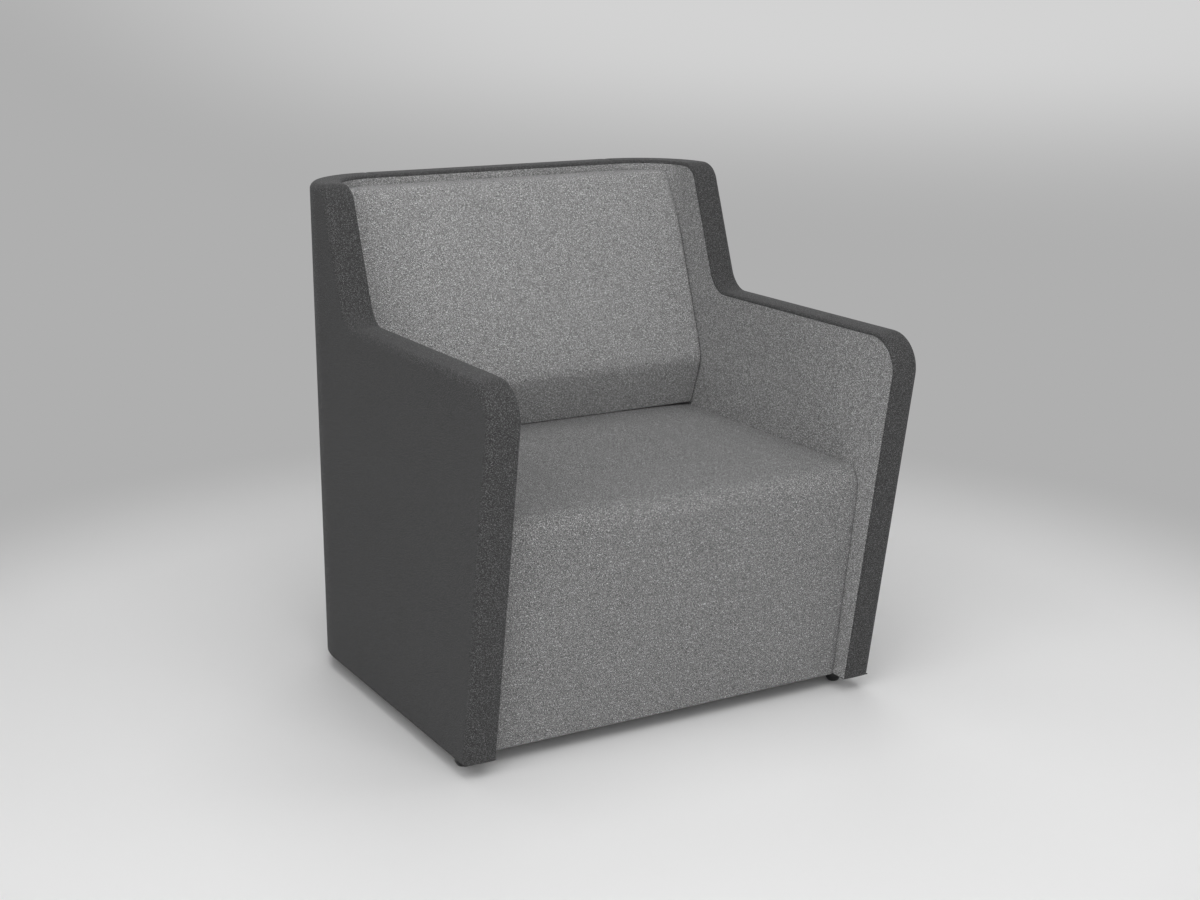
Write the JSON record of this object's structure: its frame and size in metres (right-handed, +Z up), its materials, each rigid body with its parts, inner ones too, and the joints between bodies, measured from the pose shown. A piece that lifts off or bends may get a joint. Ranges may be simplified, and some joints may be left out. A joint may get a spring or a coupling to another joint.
{
  "type": "lounge chair",
  "caption": "Low-back single-seat lounge chair with a wrapped upholstered shell, waterfall seat, lumbar back cushion and screw glides",
  "frame": {"origin": "on the floor under the glides, midway across the arms and midway between the arms' noses and the rear face", "axes": "+Z up, +Y to the rear of the chair, +X to the right as seen from the front"},
  "size_m": [0.78, 0.782, 0.868],
  "materials": {
    "shell_fabric": "dark charcoal woven wool blend over thin foam",
    "lining_fabric": "light grey melange woven wool blend",
    "seat_fabric": "light grey melange woven wool blend over foam",
    "cushion_fabric": "light grey melange woven wool blend over foam",
    "foam": "bare polyurethane foam",
    "plywood": "raw birch plywood",
    "beech": "raw planed beech",
    "webbing": "elastic upholstery webbing",
    "black_cloth": "black non-woven cloth",
    "zinc_steel": "bright zinc plating",
    "insert_steel": "yellow passivated zinc plating",
    "glide_plastic": "moulded black plastic, slightly glossy"
  },
  "bodies": {
    "chair": {"outer_cover_left": "shell_fabric", "outer_cover_right": "shell_fabric", "outer_cover_back": "shell_fabric", "lining_left": "lining_fabric", "lining_right": "lining_fabric", "lining_back": "lining_fabric", "side_panel_left": "plywood", "side_panel_right": "plywood", "side_foam_left": "foam", "side_foam_right": "foam", "back_panel": "plywood", "back_foam": "foam", "corner_former_left": "plywood", "corner_former_right": "plywood", "base_rail_left": "beech", "base_rail_right": "beech", "base_rail_front": "beech", "base_rail_rear": "beech", "corner_block_left": "beech", "corner_block_right": "beech", "seat_rail_left": "beech", "seat_rail_right": "beech", "seat_rail_front": "beech", "seat_rail_rear": "beech", "seat_ledger": "beech", "seat_corner_blocks": "beech", "seat_straps_long": "webbing", "seat_straps_cross": "webbing", "seat_cushion": "seat_fabric", "front_board": "plywood", "front_apron": "seat_fabric", "back_board": "plywood", "back_strips": "black_cloth", "back_cushion": "cushion_fabric", "dust_cover": "black_cloth", "frame_bolts": "zinc_steel", "frame_washers": "zinc_steel", "frame_nuts": "zinc_steel", "insert_nuts": "insert_steel"},
    "front_left_pad": {"glide_pad_front_left": "glide_plastic"},
    "front_left_stud": {"glide_stud_front_left": "zinc_steel"},
    "front_right_pad": {"glide_pad_front_right": "glide_plastic"},
    "front_right_stud": {"glide_stud_front_right": "zinc_steel"},
    "rear_left_pad": {"glide_pad_rear_left": "glide_plastic"},
    "rear_left_stud": {"glide_stud_rear_left": "zinc_steel"},
    "rear_right_pad": {"glide_pad_rear_right": "glide_plastic"},
    "rear_right_stud": {"glide_stud_rear_right": "zinc_steel"}
  },
  "joints": [
    {"name": "front_left_height", "type": "slide", "parent": "chair", "child": "front_left_pad", "axis": [0, 0, -1], "range_m": [0, 0.01]},
    {"name": "front_left_screw", "type": "hinge", "parent": "front_left_pad", "child": "front_left_stud", "pos_m": [-0.3625, -0.22723, 0.009], "axis": [0, 0, -1], "range_deg": [0, 2880]},
    {"name": "front_right_height", "type": "slide", "parent": "chair", "child": "front_right_pad", "axis": [0, 0, -1], "range_m": [0, 0.01]},
    {"name": "front_right_screw", "type": "hinge", "parent": "front_right_pad", "child": "front_right_stud", "pos_m": [0.3625, -0.22723, 0.009], "axis": [0, 0, -1], "range_deg": [0, 2880]},
    {"name": "rear_left_height", "type": "slide", "parent": "chair", "child": "rear_left_pad", "axis": [0, 0, -1], "range_m": [0, 0.01]},
    {"name": "rear_left_screw", "type": "hinge", "parent": "rear_left_pad", "child": "rear_left_stud", "pos_m": [-0.32779, 0.32879, 0.009], "axis": [0, 0, -1], "range_deg": [0, 2880]},
    {"name": "rear_right_height", "type": "slide", "parent": "chair", "child": "rear_right_pad", "axis": [0, 0, -1], "range_m": [0, 0.01]},
    {"name": "rear_right_screw", "type": "hinge", "parent": "rear_right_pad", "child": "rear_right_stud", "pos_m": [0.32779, 0.32879, 0.009], "axis": [0, 0, -1], "range_deg": [0, 2880]}
  ],
  "couplings": [
    {"joint": "front_left_screw", "follows": "front_left_height", "rad_per_m": 5026.5},
    {"joint": "front_right_screw", "follows": "front_right_height", "rad_per_m": 5026.5},
    {"joint": "rear_left_screw", "follows": "rear_left_height", "rad_per_m": 5026.5},
    {"joint": "rear_right_screw", "follows": "rear_right_height", "rad_per_m": 5026.5}
  ]
}
